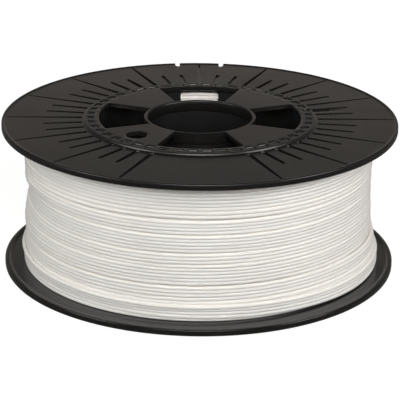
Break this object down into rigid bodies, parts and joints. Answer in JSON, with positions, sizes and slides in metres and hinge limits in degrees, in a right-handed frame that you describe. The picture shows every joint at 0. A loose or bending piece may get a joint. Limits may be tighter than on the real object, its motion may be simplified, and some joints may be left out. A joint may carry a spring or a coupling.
{
  "type": "filament spool",
  "caption": "Spool with windowed disc flanges, a drum, an open centre bore and a full winding of thin plastic filament for feeding a 3D printer.",
  "frame": {"origin": "centre of the face that the spool lies on: the outer face of the lower flange's boss, on the spool's axis", "axes": "+Z along the spool's axis from the lower flange to the upper flange; -Y is the side of the upper flange's plain label sector, and the rim notches are at +Y"},
  "size_m": [0.2, 0.2, 0.0772],
  "materials": {
    "flange_plastic": "satin black moulded plastic with a fine grain",
    "core_plastic": "plain black moulded plastic",
    "filament": "smooth warm white filament"
  },
  "bodies": {
    "root": {"upper_flange": "flange_plastic", "lower_flange": "flange_plastic", "drum": "core_plastic", "hub_tube": "core_plastic", "filament_winding": "filament", "filament_end": "filament"}
  },
  "joints": []
}
